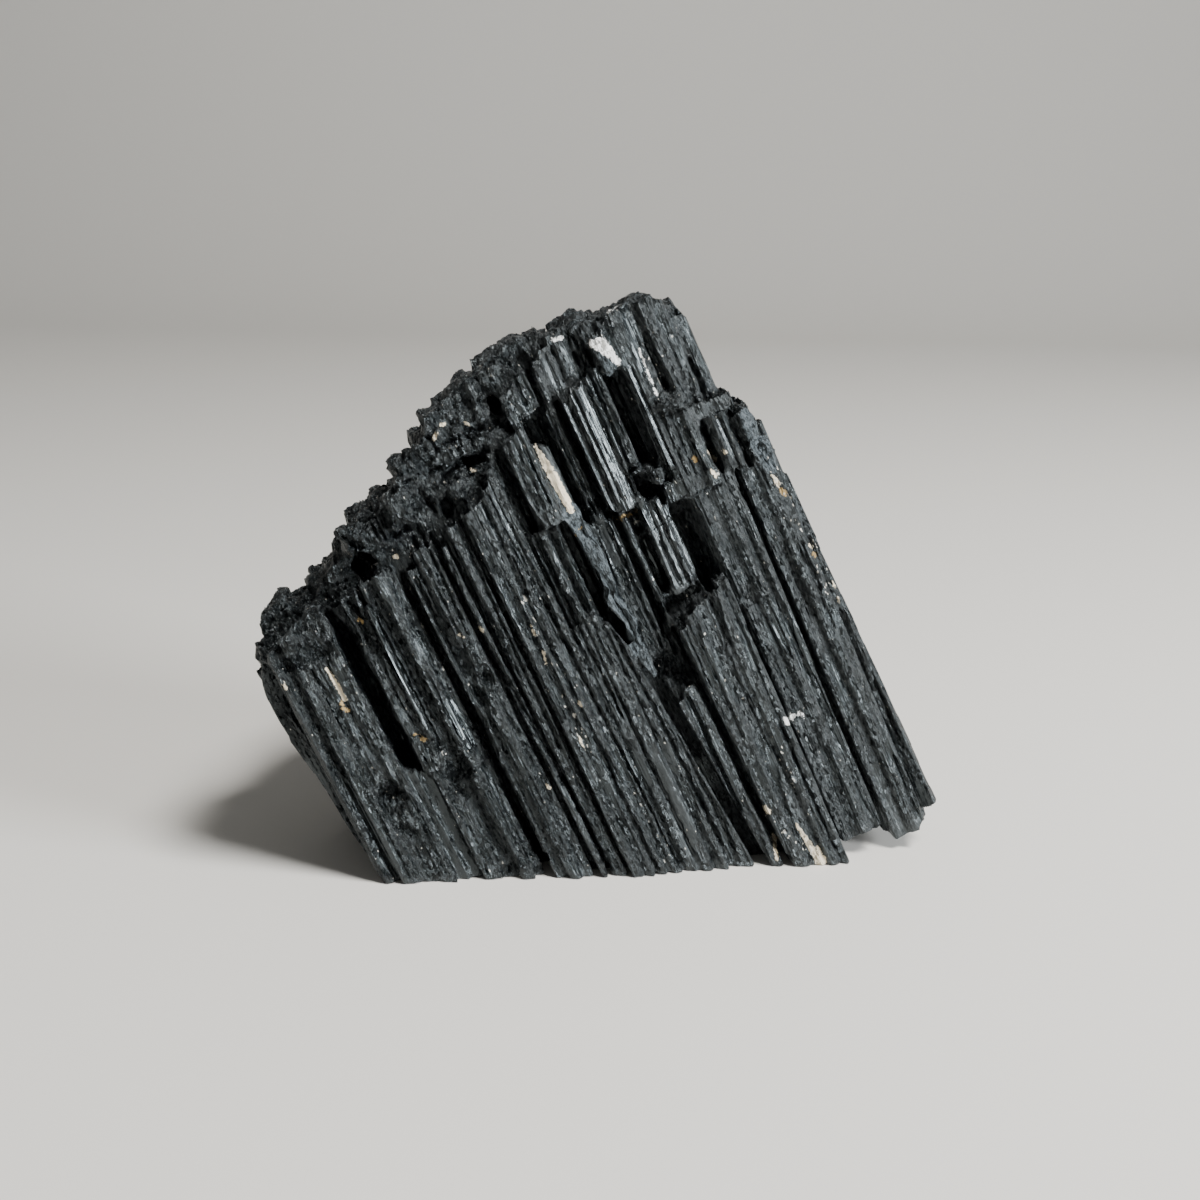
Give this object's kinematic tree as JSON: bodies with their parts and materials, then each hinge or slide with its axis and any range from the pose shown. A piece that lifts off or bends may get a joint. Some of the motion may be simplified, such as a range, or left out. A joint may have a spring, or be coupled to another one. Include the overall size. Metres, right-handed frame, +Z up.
{
  "type": "raw black tourmaline",
  "caption": "Block of raw black tourmaline: parallel striated crystal columns grown together, leaning, broken rough at the top, standing on a flat break.",
  "frame": {"origin": "on the flat of the base, under the middle of the stone", "axes": "+Z up out of the base, +X to the right along the front face's foot, -Y towards the viewer of the front face"},
  "size_m": [0.1787, 0.0874, 0.1439],
  "materials": {
    "tourmaline": "near-black striated crystal with a bluish-grey glassy gloss on the column faces, granular and duller where it is broken"
  },
  "bodies": {
    "root": {"tourmaline": "tourmaline"}
  },
  "joints": []
}
